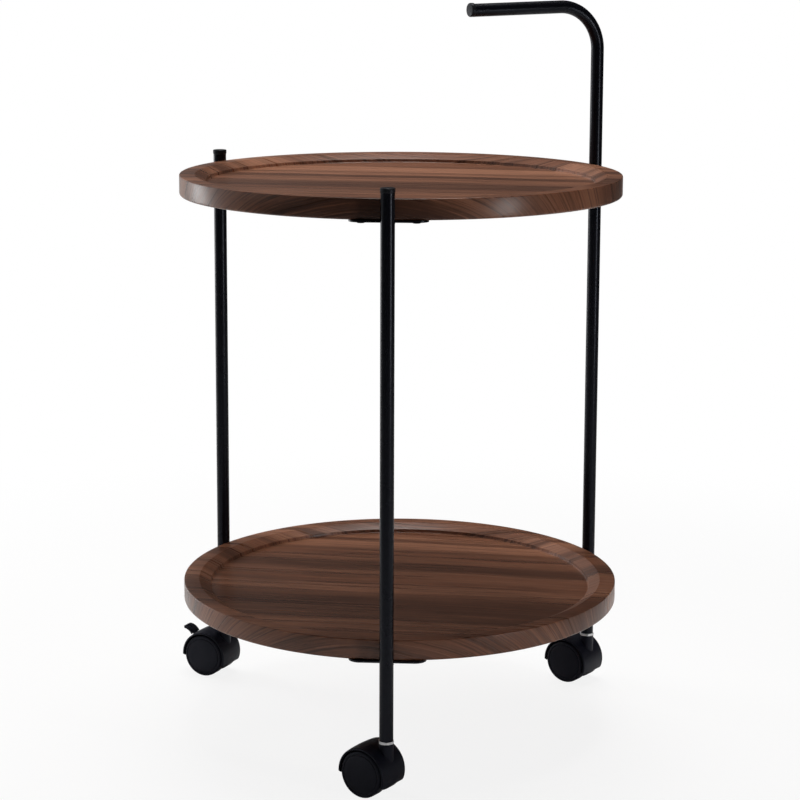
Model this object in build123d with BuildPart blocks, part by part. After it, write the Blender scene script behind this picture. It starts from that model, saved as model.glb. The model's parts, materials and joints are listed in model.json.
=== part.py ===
"""A rolling side table: two round walnut trays on three steel legs with twin-wheel casters.

Millimetres, +Z up, the floor at Z = 0. The origin is the middle of the table's footprint.
The front of the table faces -Y.
"""

from build123d import *
import math
import os

os.makedirs("parts", exist_ok=True)

# Trays
tray_diameter = 400.0
tray_thickness = 18.0
lower_tray_top = 135.6
upper_tray_top = 510.8
rim_width = 14.0
slope_width = 10.0
slope_drop = 4.85
cove_width = 3.0
recess_depth = 8.0
top_edge_round = 0.8
bottom_edge_round = 2.0
rim_inner_round = 1.5
slope_foot_round = 0.5
cove_round = 1.2
# Where the trays' common axis stands, seen from the middle of the footprint
tray_axis_x = 7.1
tray_axis_y = 12.2

# Legs: bent and straight steel tube, each touching the trays from outside
tube_diameter = 12.0
tube_wall = 1.0
leg_clearance = 0.3
front_leg_angle = -93.0
leg_rise_over_tray = 5.7
bend_top_height = 658.0
bend_radius = 40.0
grip_reach = 133.3
grip_droop = 1.35

# Caps that close the tubes
cap_diameter = 12.8
cap_height = 4.4
cap_edge_round = 0.9
cap_plug_length = 14.0
plug_clearance = 0.05

# Plates that carry the trays, and their screws
plate_length = 66.5
plate_width = 20.0
plate_thickness = 1.6
plate_lap_on_tube = 1.0
weld_gap = 0.05
screw_spacing = 46.0
screw_diameter = 4.0
screw_grip = 12.0
screw_head_diameter = 7.4
screw_head_height = 1.5
screw_head_round = 1.0
screw_point = 3.0
screw_hole_clearance = 0.25
pilot_hole_clearance = 0.05
cross_width = 0.9
cross_length = 3.6
cross_depth = 0.8

# Caster heights and swivel joint
caster_height = 47.4
collar_height = 2.2
collar_across_flats = 12.5
collar_angle = 6.0
stem_thread_diameter = 6.0
stem_thread_length = 15.0
thread_clearance = 0.05
leg_plug_length = 18.0
swivel_pin_diameter = 7.0
swivel_pin_length = 20.0
swivel_clearance = 0.05
swivel_gap = 0.3
pin_end_gap = 0.8
ring_groove_depth = 0.6
ring_groove_height = 1.3
ring_thickness = 1.0
ring_outer_diameter = 8.0
ring_opening = 50.0
ring_height_over_pin_end = 2.5
ring_clearance = 0.3

# Wheels, hood and axle
wheel_diameter = 41.0
caster_width = 34.0
caster_trail = 15.0
web_thickness = 10.0
wheel_side_gap = 0.4
wheel_edge_round = 2.0
wheel_rim_wall = 2.6
wheel_face_wall = 2.2
wheel_face_dome = 0.7
face_groove_radius = 17.2
face_groove_width = 0.7
face_groove_depth = 0.5
wheel_hub_diameter = 11.0
axle_diameter = 5.0
axle_clearance = 0.05
axle_end_gap = 0.5
axle_press_clearance = 0.02
axle_lock_depth = 0.3
axle_lock_width = 1.0
axle_lock_from_end = 1.6
axle_lock_clearance = 0.1
hood_gap = 1.2
hood_wall = 2.3
hood_bulge = 0.8
hood_side_round = 1.0
boss_diameter = 12.6
boss_edge_round = 0.8
hood_rear_end = -3.0
hood_front_end = -9.5
hood_end_bevel = 2.0
hood_end_round = 1.6
hood_corner_round = 4.0
web_round_axle = 7.5
web_corner_round = 2.0

# Brake of the left caster, placed from its axle: back is away from the stem
lever_pivot_back = 14.3
lever_pivot_rise = 12.8
brake_bar_back = 9.6
brake_bar_rise = 11.3
lever_travel_angle = 22.0
lever_core_width = 5.6
lever_tab_width = 13.0
lever_neck_thickness = 2.6
lever_arm_thickness = 3.0
lever_tab_thickness = 1.8
lever_pivot_ring = 2.9
lever_bar_ring = 2.3
tab_root_back = 18.6
tab_root_rise = 17.0
tab_middle_back = 22.1
tab_middle_rise = 20.9
tab_tip_back = 28.6
tab_tip_rise = 22.8
tab_corner_round = 2.2
pivot_pin_diameter = 2.4
brake_bar_diameter = 2.5
brake_bar_length = 23.0
pivot_clearance = 0.05
brake_clearance = 0.4

# How far each caster is turned at rest: the bearing of the axle seen from the stem
front_caster_angle = 145.5
left_caster_angle = 154.0
right_caster_angle = 143.0

# Sizes that follow
tray_radius = tray_diameter / 2
tube_radius = tube_diameter / 2
tube_bore_radius = tube_radius - tube_wall
leg_circle_radius = tray_radius + tube_radius + leg_clearance
leg_bottom = caster_height + collar_height
leg_top = upper_tray_top + leg_rise_over_tray
screw_radius = screw_diameter / 2
plate_middle = tube_radius - plate_lap_on_tube + plate_width / 2
wheel_radius = wheel_diameter / 2
wheel_inner_face = web_thickness / 2 + wheel_side_gap
wheel_outer_face = caster_width / 2
wheel_pocket_radius = wheel_radius + hood_gap
hood_side_radius = wheel_pocket_radius + hood_wall - hood_bulge
hood_middle_radius = wheel_pocket_radius + hood_wall
axle_radius = axle_diameter / 2
axle_bore_end = wheel_outer_face - wheel_face_wall
axle_half_length = axle_bore_end - axle_end_gap
swivel_pin_radius = swivel_pin_diameter / 2
swivel_pin_end = caster_height - swivel_pin_length

leg_angles = {
    "front": front_leg_angle,
    "left": front_leg_angle - 120.0,
    "right": front_leg_angle + 120.0,
}
caster_angles = {
    "front": front_caster_angle,
    "left": left_caster_angle,
    "right": right_caster_angle,
}
tray_tops = {"upper": upper_tray_top, "lower": lower_tray_top}
trays_axis = Axis((tray_axis_x, tray_axis_y, 0), (0, 0, 1))


def leg_plane(place, height):
    """The level plane on a leg's axis, with its X towards the trays' axis."""
    angle = math.radians(leg_angles[place])
    outward = Vector(math.cos(angle), math.sin(angle), 0)
    foot = trays_axis.position + outward * leg_circle_radius
    return Plane(origin=foot + Vector(0, 0, height), x_dir=outward * -1, z_dir=(0, 0, 1))


def leg_side_plane(place):
    """The upright plane through a leg's axis and the trays' axis, with its Y up."""
    level = leg_plane(place, 0)
    return Plane(origin=level.origin, x_dir=level.x_dir, z_dir=level.y_dir * -1)


def caster_plane(place, height):
    """The level plane on a caster's swivel axis, with its X towards the axle."""
    angle = math.radians(caster_angles[place])
    back = Vector(math.cos(angle), math.sin(angle), 0)
    return Plane(origin=leg_plane(place, height).origin, x_dir=back, z_dir=(0, 0, 1))


def caster_side_plane(place):
    """The upright plane between a caster's wheels: origin on the axle, X back, Y up."""
    level = caster_plane(place, wheel_radius)
    axle_middle = level.origin + level.x_dir * caster_trail
    return Plane(origin=axle_middle, x_dir=level.x_dir, z_dir=level.y_dir * -1)


def axle_section_plane(place):
    """The upright plane along a caster's axle: X along the axle, Y up."""
    side = caster_side_plane(place)
    return Plane(origin=side.origin, x_dir=side.z_dir * -1, z_dir=side.x_dir)


def axle_axis(place):
    """The line about which a caster's wheels turn."""
    section = axle_section_plane(place)
    return Axis(section.origin, section.x_dir)


def screw_places():
    """The two screws of a plate, seen from the leg's axis."""
    half = screw_spacing / 2
    return Locations((plate_middle, half), (plate_middle, -half))


# Trays: a turned profile of rim, slope, cove and sunk floor, with blind holes for the screws
for tray_name, tray_top in tray_tops.items():
    tray_bottom = tray_top - tray_thickness
    slope_top = tray_radius - rim_width
    slope_foot = slope_top - slope_width
    floor_edge = slope_foot - cove_width
    section = Plane(origin=(tray_axis_x, tray_axis_y, tray_top), x_dir=(1, 0, 0), z_dir=(0, -1, 0))
    with BuildPart() as tray:
        with BuildSketch(section):
            with BuildLine():
                FilletPolyline(
                    (0, -tray_thickness),
                    (tray_radius, -tray_thickness),
                    (tray_radius, 0),
                    (slope_top, 0),
                    (slope_foot, -slope_drop),
                    (slope_foot, -recess_depth),
                    (floor_edge, -recess_depth),
                    (0, -recess_depth),
                    radius=[
                        0,
                        bottom_edge_round,
                        top_edge_round,
                        rim_inner_round,
                        slope_foot_round,
                        cove_round,
                        0,
                        0,
                    ],
                    close=True,
                )
            make_face()
        revolve(axis=trays_axis)
        for place in leg_angles:
            with BuildSketch(leg_plane(place, tray_bottom)):
                with screw_places():
                    Circle(screw_radius + pilot_hole_clearance)
            extrude(amount=screw_grip + pilot_hole_clearance, mode=Mode.SUBTRACT)
    tray.part.label = f"{tray_name}_tray"
    export_step(tray.part, f"parts/{tray_name}_tray.step")

# Straight legs: front and left
for place in ("front", "left"):
    with BuildPart() as leg:
        with BuildSketch(leg_plane(place, leg_bottom)):
            Circle(tube_radius)
            Circle(tube_bore_radius, mode=Mode.SUBTRACT)
        extrude(amount=leg_top - leg_bottom)
    leg.part.label = f"{place}_leg"
    export_step(leg.part, f"parts/{place}_leg.step")

# Handle leg: the right leg, bent over the upper tray into the hand grip
bend_start_height = bend_top_height - bend_radius
with BuildLine(leg_side_plane("right")) as handle_path:
    upright = Line((0, leg_bottom), (0, bend_start_height))
    bend = JernArc(upright @ 1, upright % 1, bend_radius, -(90 + grip_droop))
    bend_end_reach = bend_radius * (1 + math.sin(math.radians(grip_droop)))
    grip_length = (grip_reach - bend_end_reach) / math.cos(math.radians(grip_droop))
    grip = Line(bend @ 1, (bend @ 1) + (bend % 1) * grip_length)

with BuildPart() as handle_leg:
    with BuildSketch(leg_plane("right", leg_bottom)):
        Circle(tube_radius)
        Circle(tube_bore_radius, mode=Mode.SUBTRACT)
    sweep(path=handle_path.line)
handle_leg.part.label = "handle_leg"
export_step(handle_leg.part, "parts/handle_leg.step")

# Caps: a plug inside the tube under a flange a little wider than the tube
level_side = leg_plane("right", 0)
grip_end = handle_path.line @ 1
grip_direction = handle_path.line % 1
cap_planes = {
    "front_leg_cap": leg_plane("front", leg_top),
    "left_leg_cap": leg_plane("left", leg_top),
    "handle_end_cap": Plane(origin=grip_end, x_dir=level_side.y_dir, z_dir=grip_direction),
}
for cap_name, cap_plane in cap_planes.items():
    with BuildPart() as cap:
        with BuildSketch(cap_plane):
            Circle(cap_diameter / 2)
        extrude(amount=cap_height)
        cap_top = cap.faces().sort_by(Axis(cap_plane.origin, cap_plane.z_dir))[-1]
        fillet(cap_top.edges(), radius=cap_edge_round)
        with BuildSketch(cap_plane):
            Circle(tube_bore_radius - plug_clearance)
        extrude(amount=-cap_plug_length)
    cap.part.label = cap_name
    export_step(cap.part, f"parts/{cap_name}.step")

# Plates welded to the legs under the trays, notched round the tube
for tray_name, tray_top in tray_tops.items():
    plate_bottom = tray_top - tray_thickness - plate_thickness
    for place in leg_angles:
        with BuildPart() as plate:
            with BuildSketch(leg_plane(place, plate_bottom)):
                with Locations((plate_middle, 0)):
                    SlotOverall(plate_length, plate_width, rotation=90)
                Circle(tube_radius + weld_gap, mode=Mode.SUBTRACT)
                with screw_places():
                    Circle(screw_radius + screw_hole_clearance, mode=Mode.SUBTRACT)
            extrude(amount=plate_thickness)
        plate.part.label = f"{tray_name}_{place}_plate"
        export_step(plate.part, f"parts/{tray_name}_{place}_plate.step")

# One pan-head screw, point up, with its head's seat at the origin
with BuildPart() as screw:
    with BuildSketch(Plane.XZ):
        shank_top = screw_grip + plate_thickness
        head_radius = screw_head_diameter / 2
        with BuildLine():
            FilletPolyline(
                (0, -screw_head_height),
                (head_radius, -screw_head_height),
                (head_radius, 0),
                (screw_radius, 0),
                (screw_radius, shank_top - screw_point),
                (0, shank_top),
                radius=[0, screw_head_round, 0, 0, 0, 0],
                close=True,
            )
        make_face()
    revolve(axis=Axis.Z)
    with BuildSketch(Plane.XY.offset(-screw_head_height)):
        Rectangle(cross_length, cross_width)
        Rectangle(cross_width, cross_length)
    extrude(amount=cross_depth, mode=Mode.SUBTRACT)

# The screws of each tray: two through each plate
for tray_name, tray_top in tray_tops.items():
    plate_bottom = tray_top - tray_thickness - plate_thickness
    half = screw_spacing / 2
    seats = []
    for place in leg_angles:
        level = leg_plane(place, plate_bottom)
        seats.append(Plane(level.from_local_coords((plate_middle, half, 0)), x_dir=level.x_dir))
        seats.append(Plane(level.from_local_coords((plate_middle, -half, 0)), x_dir=level.x_dir))
    with BuildPart() as screws:
        with Locations(*seats):
            add(screw.part)
    screws.part.label = f"{tray_name}_tray_screws"
    export_step(screws.part, f"parts/{tray_name}_tray_screws.step")

# Threaded plugs in the lower ends of the tubes
for place in leg_angles:
    with BuildPart() as leg_plug:
        with BuildSketch(leg_plane(place, leg_bottom)):
            Circle(tube_bore_radius - plug_clearance)
            Circle(stem_thread_diameter / 2 + thread_clearance, mode=Mode.SUBTRACT)
        extrude(amount=leg_plug_length)
    leg_plug.part.label = f"{place}_leg_plug"
    export_step(leg_plug.part, f"parts/{place}_leg_plug.step")

# Caster stems: thread above, hexagonal collar, swivel pin with a ring groove below
ring_groove_low = swivel_pin_end + ring_height_over_pin_end
ring_groove_radius = swivel_pin_radius - ring_groove_depth
for place in leg_angles:
    with BuildPart() as stem:
        with BuildSketch(leg_plane(place, caster_height)):
            RegularPolygon(collar_across_flats / 2, 6, major_radius=False, rotation=collar_angle)
        extrude(amount=collar_height)
        with BuildSketch(leg_plane(place, leg_bottom)):
            Circle(stem_thread_diameter / 2)
        extrude(amount=stem_thread_length)
        with BuildSketch(leg_plane(place, caster_height)):
            Circle(swivel_pin_radius)
        extrude(amount=-swivel_pin_length)
        with BuildSketch(leg_plane(place, ring_groove_low)):
            Circle(swivel_pin_radius + swivel_clearance)
            Circle(ring_groove_radius, mode=Mode.SUBTRACT)
        extrude(amount=ring_groove_height, mode=Mode.SUBTRACT)
    stem.part.label = f"{place}_caster_stem"
    export_step(stem.part, f"parts/{place}_caster_stem.step")

# Snap rings: open rings in the grooves of the swivel pins
ring_low = ring_groove_low + (ring_groove_height - ring_thickness) / 2
for place in leg_angles:
    ring_plane = caster_plane(place, ring_low)
    ring_outer_radius = ring_outer_diameter / 2
    opening = math.radians(ring_opening / 2)
    with BuildPart() as snap_ring:
        with BuildSketch(ring_plane):
            Circle(ring_outer_radius)
            Circle(ring_groove_radius + swivel_clearance, mode=Mode.SUBTRACT)
            with BuildLine():
                Polyline(
                    (0, 0),
                    (swivel_pin_diameter, swivel_pin_diameter * math.tan(opening)),
                    (swivel_pin_diameter, -swivel_pin_diameter * math.tan(opening)),
                    close=True,
                )
            make_face(mode=Mode.SUBTRACT)
        extrude(amount=ring_thickness)
    snap_ring.part.label = f"{place}_snap_ring"
    export_step(snap_ring.part, f"parts/{place}_snap_ring.step")

# The brake lever's outline in the caster's side plane, without its tab
pivot_point = (lever_pivot_back, lever_pivot_rise)
bar_point = (brake_bar_back, brake_bar_rise)
tab_root = (tab_root_back, tab_root_rise)
with BuildSketch() as lever_core:
    with BuildLine():
        Line(bar_point, pivot_point)
    trace(line_width=lever_arm_thickness)
    with BuildLine():
        Line(pivot_point, tab_root)
    trace(line_width=lever_neck_thickness)
    with Locations(pivot_point):
        Circle(lever_pivot_ring)
    with Locations(bar_point):
        Circle(lever_bar_ring)

# The room that the lever needs inside the hood, from rest to fully down
pivot_axis = Axis((lever_pivot_back, lever_pivot_rise, 0), (0, 0, 1))
travel_steps = [0, -lever_travel_angle / 3, -lever_travel_angle * 2 / 3, -lever_travel_angle]
with BuildSketch() as lever_room:
    for step in travel_steps:
        add(lever_core.sketch.rotate(pivot_axis, step))
    offset(amount=brake_clearance)
with BuildSketch() as bar_section:
    with Locations(bar_point):
        Circle(brake_bar_diameter / 2)
with BuildSketch() as bar_room:
    for step in travel_steps:
        add(bar_section.sketch.rotate(pivot_axis, step))
    offset(amount=brake_clearance)

# Hoods: an arched cover with a middle web between the wheels and a boss for the swivel pin
boss_top = caster_height - swivel_gap
for place in leg_angles:
    side_plane = caster_side_plane(place)
    half_width = caster_width / 2
    with BuildPart() as hood:
        with BuildSketch(axle_section_plane(place)):
            with BuildLine():
                ThreePointArc(
                    (-half_width, hood_side_radius),
                    (0, hood_middle_radius),
                    (half_width, hood_side_radius),
                )
                Polyline(
                    (half_width, hood_side_radius),
                    (half_width, 0),
                    (-half_width, 0),
                    (-half_width, hood_side_radius),
                )
            make_face()
        revolve(axis=axle_axis(place))
        fillet(hood.edges().filter_by(GeomType.CIRCLE), radius=hood_side_round)
        with BuildSketch(leg_plane(place, boss_top)):
            Circle(boss_diameter / 2)
        extrude(amount=wheel_radius - boss_top)
        boss_rim = hood.faces().filter_by(GeomType.PLANE).sort_by(Axis.Z)[-1].edges()
        fillet(boss_rim, radius=boss_edge_round)
        for way in (1, -1):
            with BuildSketch(side_plane.offset(way * web_thickness / 2)):
                Circle(wheel_pocket_radius)
            extrude(amount=way * caster_width, mode=Mode.SUBTRACT)
        with BuildSketch(side_plane):
            reach = 2 * hood_middle_radius
            bevel_start = hood_side_radius - hood_end_bevel
            bevel_reach = reach - bevel_start
            with BuildLine():
                FilletPolyline(
                    (reach, hood_rear_end + bevel_reach),
                    (bevel_start, hood_rear_end),
                    (0, hood_rear_end),
                    (-web_round_axle, hood_front_end),
                    (-bevel_start, hood_front_end),
                    (-reach, hood_front_end + bevel_reach),
                    (-reach, -reach),
                    (reach, -reach),
                    radius=[0, hood_end_round, 0, web_corner_round, hood_end_round, 0, 0, 0],
                    close=True,
                )
            make_face()
            Circle(web_round_axle, mode=Mode.SUBTRACT)
        extrude(amount=caster_width, both=True, mode=Mode.SUBTRACT)
        for end_height, way in ((hood_rear_end, 1), (hood_front_end, -1)):
            with BuildSketch(axle_section_plane(place)):
                with Locations((half_width, end_height), (-half_width, end_height)):
                    Rectangle(2 * hood_corner_round, 2 * hood_corner_round)
                arc_middle = half_width - hood_corner_round
                arc_height = end_height + hood_corner_round
                with Locations((arc_middle, arc_height), (-arc_middle, arc_height)):
                    Circle(hood_corner_round, mode=Mode.SUBTRACT)
            extrude(amount=way * reach, mode=Mode.SUBTRACT)
        with BuildSketch(side_plane):
            Circle(axle_radius + axle_press_clearance)
        extrude(amount=web_thickness, both=True, mode=Mode.SUBTRACT)
        with BuildSketch(leg_plane(place, caster_height)):
            Circle(swivel_pin_radius + swivel_clearance)
        extrude(amount=-swivel_pin_length - pin_end_gap, mode=Mode.SUBTRACT)
        with BuildSketch(leg_plane(place, ring_low - ring_clearance)):
            Circle(ring_outer_diameter / 2 + ring_clearance)
        extrude(amount=ring_thickness + 2 * ring_clearance, mode=Mode.SUBTRACT)
        if place == "left":
            with BuildSketch(side_plane):
                add(lever_room.sketch)
            extrude(amount=lever_core_width / 2 + brake_clearance, both=True, mode=Mode.SUBTRACT)
            with BuildSketch(side_plane):
                add(bar_room.sketch)
            extrude(amount=web_thickness, both=True, mode=Mode.SUBTRACT)
            with BuildSketch(side_plane):
                with Locations(pivot_point):
                    Circle(pivot_pin_diameter / 2 + axle_press_clearance)
            extrude(amount=web_thickness, both=True, mode=Mode.SUBTRACT)
    hood.part.label = f"{place}_caster_hood"
    export_step(hood.part, f"parts/{place}_caster_hood.step")

# Axles, with a groove near each end that holds the wheel on
lock_outer = axle_half_length - axle_lock_from_end
lock_inner = lock_outer - axle_lock_width
for place in leg_angles:
    with BuildPart() as axle:
        with BuildSketch(axle_section_plane(place)):
            with BuildLine():
                Polyline(
                    (-axle_half_length, 0),
                    (-axle_half_length, axle_radius),
                    (-lock_outer, axle_radius),
                    (-lock_outer, axle_radius - axle_lock_depth),
                    (-lock_inner, axle_radius - axle_lock_depth),
                    (-lock_inner, axle_radius),
                    (lock_inner, axle_radius),
                    (lock_inner, axle_radius - axle_lock_depth),
                    (lock_outer, axle_radius - axle_lock_depth),
                    (lock_outer, axle_radius),
                    (axle_half_length, axle_radius),
                    (axle_half_length, 0),
                    close=True,
                )
            make_face()
        revolve(axis=axle_axis(place))
    axle.part.label = f"{place}_caster_axle"
    export_step(axle.part, f"parts/{place}_caster_axle.step")

# Wheels: cups that are open towards the web, with a hub on the axle and a domed outer face
face_inside = wheel_outer_face - wheel_face_wall
hub_bore = axle_radius + axle_clearance
lip_bore = hub_bore - axle_lock_depth
groove_out = face_groove_radius + face_groove_width / 2
groove_in = face_groove_radius - face_groove_width / 2
for place in leg_angles:
    for side_name, way in (("right", 1), ("left", -1)):
        with BuildPart() as wheel:
            with BuildSketch(axle_section_plane(place)):
                with BuildLine():
                    outline = FilletPolyline(
                        (way * wheel_outer_face, groove_out),
                        (way * wheel_outer_face, wheel_radius),
                        (way * wheel_inner_face, wheel_radius),
                        (way * wheel_inner_face, wheel_radius - wheel_rim_wall),
                        (way * face_inside, wheel_radius - wheel_rim_wall),
                        (way * face_inside, wheel_hub_diameter / 2),
                        (way * wheel_inner_face, wheel_hub_diameter / 2),
                        (way * wheel_inner_face, hub_bore),
                        (way * (lock_inner + axle_lock_clearance), hub_bore),
                        (way * (lock_inner + axle_lock_clearance), lip_bore),
                        (way * (lock_outer - axle_lock_clearance), lip_bore),
                        (way * (lock_outer - axle_lock_clearance), hub_bore),
                        (way * face_inside, hub_bore),
                        (way * face_inside, 0),
                        radius=[wheel_edge_round, wheel_edge_round / 2] + [0] * 10,
                    )
                    Line((way * face_inside, 0), (way * (wheel_outer_face + wheel_face_dome), 0))
                    ThreePointArc(
                        (way * (wheel_outer_face + wheel_face_dome), 0),
                        (way * (wheel_outer_face + wheel_face_dome * 0.75), groove_in / 2),
                        (way * wheel_outer_face, groove_in),
                    )
                    Polyline(
                        (way * wheel_outer_face, groove_in),
                        (way * (wheel_outer_face - face_groove_depth), groove_in),
                        (way * (wheel_outer_face - face_groove_depth), groove_out),
                        (way * wheel_outer_face, groove_out),
                    )
                make_face()
            revolve(axis=axle_axis(place))
        wheel.part.label = f"{place}_caster_{side_name}_wheel"
        export_step(wheel.part, f"parts/{place}_caster_{side_name}_wheel.step")

# Brake lever: the core inside the hood and the wide curved tab outside
brake_plane = caster_side_plane("left")
with BuildPart() as brake_lever:
    with BuildSketch(brake_plane):
        add(lever_core.sketch)
    extrude(amount=lever_core_width / 2, both=True)
    with BuildSketch(brake_plane):
        with BuildLine():
            ThreePointArc(
                tab_root,
                (tab_middle_back, tab_middle_rise),
                (tab_tip_back, tab_tip_rise),
            )
        trace(line_width=lever_tab_thickness)
    extrude(amount=lever_tab_width / 2, both=True)
    tab_tip = brake_lever.faces().sort_by(Axis(brake_plane.origin, brake_plane.x_dir))[-1]
    fillet(tab_tip.edges().sort_by(SortBy.LENGTH)[:2], radius=tab_corner_round)
    with BuildSketch(brake_plane):
        with Locations(pivot_point):
            Circle(pivot_pin_diameter / 2 + pivot_clearance)
        with Locations(bar_point):
            Circle(brake_bar_diameter / 2 + axle_press_clearance)
    extrude(amount=lever_core_width, both=True, mode=Mode.SUBTRACT)
brake_lever.part.label = "brake_lever"
export_step(brake_lever.part, "parts/brake_lever.step")

# The lever's pivot pin, held in the web of the left hood
with BuildPart() as pivot_pin:
    with BuildSketch(brake_plane):
        with Locations(pivot_point):
            Circle(pivot_pin_diameter / 2)
    extrude(amount=web_thickness / 2, both=True)
pivot_pin.part.label = "brake_pivot_pin"
export_step(pivot_pin.part, "parts/brake_pivot_pin.step")

# The bar that the lever pushes out against the rims of both wheels
with BuildPart() as brake_bar:
    with BuildSketch(brake_plane):
        with Locations(bar_point):
            Circle(brake_bar_diameter / 2)
    extrude(amount=brake_bar_length / 2, both=True)
brake_bar.part.label = "brake_bar"
export_step(brake_bar.part, "parts/brake_bar.step")
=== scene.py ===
"""Dresses the rolling side table: walnut-film trays, tube legs, nylon casters and a studio.

Metres, +Z up, the floor at Z = 0, the front of the table towards -Y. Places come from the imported
frame. Sizes and colours that a user may want to change stand in the property groups.
"""

import json
import math

import bmesh
import bpy
from bpy.props import FloatProperty, FloatVectorProperty, IntProperty, PointerProperty
from mathutils import Matrix, Vector


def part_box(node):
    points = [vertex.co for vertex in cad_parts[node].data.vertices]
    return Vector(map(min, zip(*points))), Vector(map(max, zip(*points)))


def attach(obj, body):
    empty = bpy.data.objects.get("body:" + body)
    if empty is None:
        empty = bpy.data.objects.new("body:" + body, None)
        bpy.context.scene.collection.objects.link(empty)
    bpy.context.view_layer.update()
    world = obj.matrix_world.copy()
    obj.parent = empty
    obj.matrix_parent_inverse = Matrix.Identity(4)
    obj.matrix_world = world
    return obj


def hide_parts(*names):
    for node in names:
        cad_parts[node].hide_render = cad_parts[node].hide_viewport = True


bl_info = {
    "name": "Rolling side table",
    "version": (1, 0, 0),
    "blender": (4, 5, 0),
    "location": "3D View > Sidebar > Side Table",
    "description": "Builds the trays, legs, casters and studio of a round rolling side table",
    "category": "Object",
}

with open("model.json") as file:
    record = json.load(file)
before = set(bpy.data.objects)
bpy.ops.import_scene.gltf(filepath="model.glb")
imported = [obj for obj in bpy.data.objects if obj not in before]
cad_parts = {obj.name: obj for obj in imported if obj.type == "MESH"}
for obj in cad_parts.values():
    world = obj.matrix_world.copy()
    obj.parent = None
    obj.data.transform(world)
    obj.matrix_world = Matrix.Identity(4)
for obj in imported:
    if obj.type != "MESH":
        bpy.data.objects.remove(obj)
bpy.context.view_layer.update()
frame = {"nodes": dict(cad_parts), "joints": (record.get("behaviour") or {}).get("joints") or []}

MM = 0.001
TABLE = "table"
LEGS = ("front", "left", "right")
UP = Vector((0, 0, 1))
joints = {joint["name"]: joint for joint in frame["joints"]}


# Places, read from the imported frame

def tray_frame(level):
    """A tray's centre at the height of its rim, its radius and its thickness."""
    low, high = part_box(f"{level}_tray")
    middle = (low + high) / 2
    return Vector((middle.x, middle.y, high.z)), (high.y - low.y) / 2, high.z - low.z


def leg_foot(place):
    """The point on the floor under a leg's axis."""
    spot = joints[f"{place}_caster_swivel"]["pos_m"]
    return Vector((spot[0], spot[1], 0))


def leg_inward(place):
    """The level direction from a leg to the trays' axis."""
    inward = tray_frame("upper")[0] - leg_foot(place)
    inward.z = 0
    return inward.normalized()


def leg_place(place, height):
    """A place on a leg's axis: X towards the trays' axis, Z up."""
    inward = leg_inward(place)
    spot = leg_foot(place) + UP * height
    return Matrix.Translation(spot) @ basis(inward, UP.cross(inward), UP)


def caster_place(place):
    """A caster's own place: origin on its axle, X back, Y to its right wheel, Z up."""
    spin = joints[f"{place}_right_wheel_spin"]
    along = Vector(spin["axis"]).normalized()
    return Matrix.Translation(Vector(spin["pos_m"])) @ basis(along.cross(UP), along, UP)


def basis(x_axis, y_axis, z_axis):
    """The turn that brings X, Y and Z onto three directions."""
    return Matrix((x_axis, y_axis, z_axis)).transposed().to_4x4()


def tube_radius():
    """The outer radius of the legs' tube."""
    low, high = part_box("front_leg")
    return (high.x - low.x) / 2


def end_points(node, direction, depth):
    """The points of a CAD node that lie within a depth of its end in a direction."""
    points = [vertex.co for vertex in frame["nodes"][node].data.vertices]
    farthest = max(point.dot(direction) for point in points)
    return [point for point in points if point.dot(direction) > farthest - depth]


# Meshes

# A point of an outline that is this near the axis becomes a single vertex
ON_AXIS = 1e-7


def rounded_outline(corners, steps=5):
    """Points of an outline whose corners (across, along, round) are drawn as arcs."""
    points = []
    last = len(corners) - 1
    for index, (across, along, round_size) in enumerate(corners):
        corner = Vector((across, along))
        if round_size <= 0 or index in (0, last):
            points.append(corner)
            continue
        before = (Vector(corners[index - 1][:2]) - corner).normalized()
        after = (Vector(corners[index + 1][:2]) - corner).normalized()
        half = before.angle(after) / 2
        reach = round_size / math.tan(half)
        middle = corner + (before + after).normalized() * (round_size / math.sin(half))
        start = corner + before * reach - middle
        end = corner + after * reach - middle
        first = math.atan2(start.y, start.x)
        sweep = (math.atan2(end.y, end.x) - first + math.pi) % math.tau - math.pi
        for step in range(steps + 1):
            turn = first + sweep * step / steps
            points.append(middle + Vector((math.cos(turn), math.sin(turn))) * round_size)
    return points


def turned(radius, height, turn):
    """A point at a radius and a height, turned about Z."""
    return Vector((radius * math.cos(turn), radius * math.sin(turn), height))


def swung(first, second, turn):
    """A direction, swung from a first one towards a second."""
    return first * math.cos(turn) + second * math.sin(turn)


def ring_mesh(bm, segments, spot_at):
    """A ring of vertices, whose places spot_at gives from their turn."""
    return [bm.verts.new(spot_at(math.tau * index / segments)) for index in range(segments)]


def turned_mesh(bm, outline, segments, place=Matrix.Identity(4)):
    """Turns an outline (radius, height) about Z."""
    rings = []
    for radius, height in outline:
        count = 1 if radius < ON_AXIS else segments
        rings.append(ring_mesh(bm, count, lambda turn: place @ turned(radius, height, turn)))
    join_stack(bm, rings)


def join_rings(bm, lower, upper):
    """Faces between two rings of vertices, either of which may be a single point."""
    count = max(len(lower), len(upper))
    for index in range(count):
        after = (index + 1) % count
        if len(lower) == 1:
            corners = (lower[0], upper[index], upper[after])
        elif len(upper) == 1:
            corners = (lower[index], lower[after], upper[0])
        else:
            corners = (lower[index], lower[after], upper[after], upper[index])
        bm.faces.new(corners)


def join_stack(bm, rings):
    """Joins rings one after another."""
    for lower, upper in zip(rings, rings[1:]):
        join_rings(bm, lower, upper)


def close_stack(bm, rings):
    """Joins rings one after another and closes both ends."""
    join_stack(bm, rings)
    bm.faces.new(reversed(rings[0]))
    bm.faces.new(rings[-1])


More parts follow.
